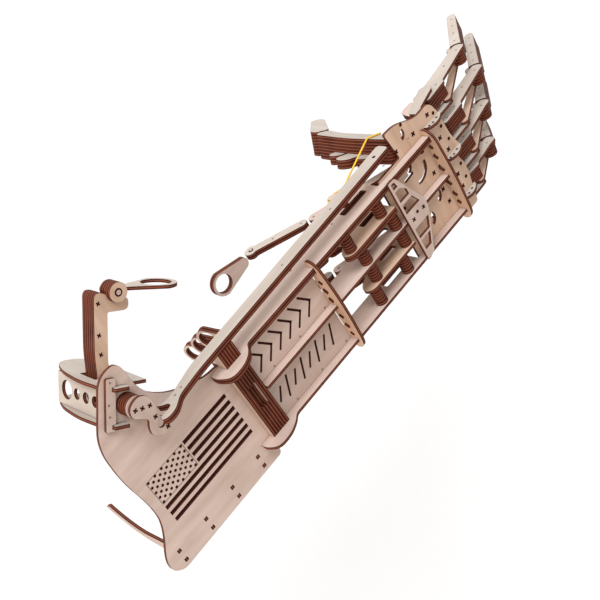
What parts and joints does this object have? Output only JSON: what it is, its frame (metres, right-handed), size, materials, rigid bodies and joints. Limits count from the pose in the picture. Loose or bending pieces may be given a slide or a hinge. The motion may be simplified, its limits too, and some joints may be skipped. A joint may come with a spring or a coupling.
{
  "type": "wearable mechanical hand",
  "caption": "Wooden mechanical hand worn over a forearm; rings on the wearer's fingers pull bars that curl jointed plywood fingers and a thumb.",
  "frame": {"origin": "on the underside of the forearm plate, below the middle of its striped panel", "axes": "+X to the finger tips, +Y to the thumb side, +Z away from the wearer's forearm"},
  "size_m": [0.6148, 0.2281, 0.1942],
  "materials": {
    "birch_face": "smooth bare birch plywood face with engraved marks",
    "birch_ply": "bare birch plywood with laser-browned edges",
    "birch_burnt_edge": "stacked plywood seen on its laser-browned edges"
  },
  "bodies": {
    "frame": {"forearm_plate": "birch_face", "forearm_rib_1": "birch_ply", "forearm_rib_2": "birch_ply", "forearm_rib_3": "birch_ply", "forearm_rib_4": "birch_ply", "rail_thumb": "birch_ply", "rail_middle": "birch_ply", "rail_little": "birch_ply", "rail_inner_thumb": "birch_ply", "rail_inner_little": "birch_ply", "spacer_1_1": "birch_burnt_edge", "spacer_1_2": "birch_burnt_edge", "spacer_1_3": "birch_burnt_edge", "spacer_1_4": "birch_burnt_edge", "spacer_2_1": "birch_burnt_edge", "spacer_2_2": "birch_burnt_edge", "spacer_2_3": "birch_burnt_edge", "spacer_2_4": "birch_burnt_edge", "box_panel_thumb": "birch_face", "box_panel_little": "birch_face", "wrist_block": "birch_burnt_edge", "rod_guide": "birch_burnt_edge", "box_arch": "birch_ply", "palm_arch": "birch_ply", "wrist_bridge": "birch_ply", "palm_plate": "birch_ply", "shelf_upper": "birch_ply", "shelf_lower": "birch_ply", "shelf_wall": "birch_ply"},
    "thumb_lever": {"thumb_lever": "birch_burnt_edge", "thumb_axle": "birch_burnt_edge", "thumb_crank": "birch_ply"},
    "thumb_ring": {"thumb_ring": "birch_ply"},
    "thumb_rod": {"thumb_rod": "birch_ply"},
    "thumb_beam": {"thumb_beam": "birch_burnt_edge"},
    "thumb_tip": {"thumb_tip": "birch_ply"},
    "index_pull_bar": {"index_pull_bar": "birch_ply"},
    "index_link": {"index_link": "birch_ply"},
    "index_finger_ring": {"index_finger_ring": "birch_ply"},
    "index_proximal": {"index_proximal": "birch_ply"},
    "index_distal": {"index_distal": "birch_ply"},
    "index_coupler": {"index_coupler": "birch_ply"},
    "middle_pull_bar": {"middle_pull_bar": "birch_ply"},
    "middle_link": {"middle_link": "birch_ply"},
    "middle_finger_ring": {"middle_finger_ring": "birch_ply"},
    "middle_proximal": {"middle_proximal": "birch_ply"},
    "middle_distal": {"middle_distal": "birch_ply"},
    "middle_coupler": {"middle_coupler": "birch_ply"},
    "ring_pull_bar": {"ring_pull_bar": "birch_ply"},
    "ring_link": {"ring_link": "birch_ply"},
    "ring_finger_ring": {"ring_finger_ring": "birch_ply"},
    "ring_proximal": {"ring_proximal": "birch_ply"},
    "ring_distal": {"ring_distal": "birch_ply"},
    "ring_coupler": {"ring_coupler": "birch_ply"},
    "little_pull_bar": {"little_pull_bar": "birch_ply"},
    "little_link": {"little_link": "birch_ply"},
    "little_finger_ring": {"little_finger_ring": "birch_ply"},
    "little_proximal": {"little_proximal": "birch_ply"},
    "little_distal": {"little_distal": "birch_ply"},
    "little_coupler": {"little_coupler": "birch_ply"}
  },
  "joints": [
    {"name": "thumb_lever_swing", "type": "hinge", "parent": "frame", "child": "thumb_lever", "pos_m": [-0.0195, 0.0915, 0], "axis": [0, 0, -1], "range_deg": [0, 18], "stiffness_Nm_per_rad": 0.02},
    {"name": "thumb_ring_swivel", "type": "hinge", "parent": "thumb_lever", "child": "thumb_ring", "pos_m": [0.03884, 0.15246, -0.034], "axis": [0, 0, 1], "range_deg": [-5, 40]},
    {"name": "thumb_rod_slide", "type": "slide", "parent": "frame", "child": "thumb_rod", "axis": [-1, 0, 0], "range_m": [0, 0.009]},
    {"name": "thumb_beam_curl", "type": "hinge", "parent": "frame", "child": "thumb_beam", "pos_m": [0.328, 0.06, -0.01], "axis": [-0.3987, -0.9171, 0], "range_deg": [0, 23]},
    {"name": "thumb_tip_curl", "type": "hinge", "parent": "thumb_beam", "child": "thumb_tip", "pos_m": [0.3225, 0.06239, -0.09], "axis": [-0.3987, -0.9171, 0], "range_deg": [0, 13]},
    {"name": "index_pull", "type": "slide", "parent": "frame", "child": "index_pull_bar", "axis": [-1, 0, 0], "range_m": [0, 0.0085], "stiffness_N_per_m": 40},
    {"name": "index_link_swing", "type": "hinge", "parent": "index_pull_bar", "child": "index_link", "pos_m": [0.249, 0.0315, -0.06], "axis": [0, 1, 0], "range_deg": [-1, 4]},
    {"name": "index_finger_ring_swing", "type": "hinge", "parent": "index_link", "child": "index_finger_ring", "pos_m": [0.1949, 0.0315, -0.10007], "axis": [0, 1, 0], "range_deg": [-12, 12]},
    {"name": "index_proximal_curl", "type": "hinge", "parent": "frame", "child": "index_proximal", "pos_m": [0.402, 0.05, -0.023], "axis": [0, 1, 0], "range_deg": [0, 39]},
    {"name": "index_distal_curl", "type": "hinge", "parent": "index_proximal", "child": "index_distal", "pos_m": [0.468, 0.05, -0.034], "axis": [0, 1, 0], "range_deg": [0, 54]},
    {"name": "index_coupler_swing", "type": "hinge", "parent": "frame", "child": "index_coupler", "pos_m": [0.415, 0.05, -0.014], "axis": [0, 1, 0], "range_deg": [0, 44]},
    {"name": "middle_pull", "type": "slide", "parent": "frame", "child": "middle_pull_bar", "axis": [-1, 0, 0], "range_m": [0, 0.0085], "stiffness_N_per_m": 40},
    {"name": "middle_link_swing", "type": "hinge", "parent": "middle_pull_bar", "child": "middle_link", "pos_m": [0.232, 0.0105, -0.034], "axis": [0, 1, 0], "range_deg": [-1, 4]},
    {"name": "middle_finger_ring_swing", "type": "hinge", "parent": "middle_link", "child": "middle_finger_ring", "pos_m": [0.11566, 0.0105, -0.06181], "axis": [0, 1, 0], "range_deg": [-12, 12]},
    {"name": "middle_proximal_curl", "type": "hinge", "parent": "frame", "child": "middle_proximal", "pos_m": [0.406, 0.02, -0.019], "axis": [0, 1, 0], "range_deg": [0, 39]},
    {"name": "middle_distal_curl", "type": "hinge", "parent": "middle_proximal", "child": "middle_distal", "pos_m": [0.475, 0.02, -0.03], "axis": [0, 1, 0], "range_deg": [0, 54]},
    {"name": "middle_coupler_swing", "type": "hinge", "parent": "frame", "child": "middle_coupler", "pos_m": [0.419, 0.02, -0.01], "axis": [0, 1, 0], "range_deg": [0, 44]},
    {"name": "ring_pull", "type": "slide", "parent": "frame", "child": "ring_pull_bar", "axis": [-1, 0, 0], "range_m": [0, 0.0085], "stiffness_N_per_m": 40},
    {"name": "ring_link_swing", "type": "hinge", "parent": "ring_pull_bar", "child": "ring_link", "pos_m": [0.228, -0.0105, -0.034], "axis": [0, 1, 0], "range_deg": [-1, 4]},
    {"name": "ring_finger_ring_swing", "type": "hinge", "parent": "ring_link", "child": "ring_finger_ring", "pos_m": [0.11876, -0.0105, -0.09281], "axis": [0, 1, 0], "range_deg": [-12, 12]},
    {"name": "ring_proximal_curl", "type": "hinge", "parent": "frame", "child": "ring_proximal", "pos_m": [0.401, -0.011, -0.0185], "axis": [0, 1, 0], "range_deg": [0, 39]},
    {"name": "ring_distal_curl", "type": "hinge", "parent": "ring_proximal", "child": "ring_distal", "pos_m": [0.459, -0.011, -0.025], "axis": [0, 1, 0], "range_deg": [0, 54]},
    {"name": "ring_coupler_swing", "type": "hinge", "parent": "frame", "child": "ring_coupler", "pos_m": [0.414, -0.011, -0.0095], "axis": [0, 1, 0], "range_deg": [0, 45]},
    {"name": "little_pull", "type": "slide", "parent": "frame", "child": "little_pull_bar", "axis": [-1, 0, 0], "range_m": [0, 0.0085], "stiffness_N_per_m": 40},
    {"name": "little_link_swing", "type": "hinge", "parent": "little_pull_bar", "child": "little_link", "pos_m": [0.232, -0.0315, -0.034], "axis": [0, 1, 0], "range_deg": [-1, 4]},
    {"name": "little_finger_ring_swing", "type": "hinge", "parent": "little_link", "child": "little_finger_ring", "pos_m": [0.11966, -0.0315, -0.12381], "axis": [0, 1, 0], "range_deg": [-12, 12]},
    {"name": "little_proximal_curl", "type": "hinge", "parent": "frame", "child": "little_proximal", "pos_m": [0.389, -0.04, -0.016], "axis": [0, 1, 0], "range_deg": [0, 39]},
    {"name": "little_distal_curl", "type": "hinge", "parent": "little_proximal", "child": "little_distal", "pos_m": [0.437, -0.04, -0.016], "axis": [0, 1, 0], "range_deg": [0, 54]},
    {"name": "little_coupler_swing", "type": "hinge", "parent": "frame", "child": "little_coupler", "pos_m": [0.402, -0.04, -0.007], "axis": [0, 1, 0], "range_deg": [0, 46]}
  ],
  "couplings": [
    {"joint": "thumb_rod_slide", "follows": "thumb_lever_swing", "m_per_rad": 0.0249},
    {"joint": "thumb_beam_curl", "follows": "thumb_lever_swing", "ratio": 1.22},
    {"joint": "thumb_tip_curl", "follows": "thumb_lever_swing", "ratio": 0.66},
    {"joint": "index_link_swing", "follows": "index_pull", "rad_per_m": 6},
    {"joint": "index_proximal_curl", "follows": "index_pull", "rad_per_m": 78},
    {"joint": "index_distal_curl", "follows": "index_pull", "rad_per_m": 108},
    {"joint": "index_coupler_swing", "follows": "index_pull", "rad_per_m": 87.6},
    {"joint": "middle_link_swing", "follows": "middle_pull", "rad_per_m": 6},
    {"joint": "middle_proximal_curl", "follows": "middle_pull", "rad_per_m": 78},
    {"joint": "middle_distal_curl", "follows": "middle_pull", "rad_per_m": 106.9},
    {"joint": "middle_coupler_swing", "follows": "middle_pull", "rad_per_m": 87.3},
    {"joint": "ring_link_swing", "follows": "ring_pull", "rad_per_m": 6},
    {"joint": "ring_proximal_curl", "follows": "ring_pull", "rad_per_m": 78},
    {"joint": "ring_distal_curl", "follows": "ring_pull", "rad_per_m": 108.3},
    {"joint": "ring_coupler_swing", "follows": "ring_pull", "rad_per_m": 89.2},
    {"joint": "little_link_swing", "follows": "little_pull", "rad_per_m": 6},
    {"joint": "little_proximal_curl", "follows": "little_pull", "rad_per_m": 78},
    {"joint": "little_distal_curl", "follows": "little_pull", "rad_per_m": 108.1},
    {"joint": "little_coupler_swing", "follows": "little_pull", "rad_per_m": 92.2}
  ]
}
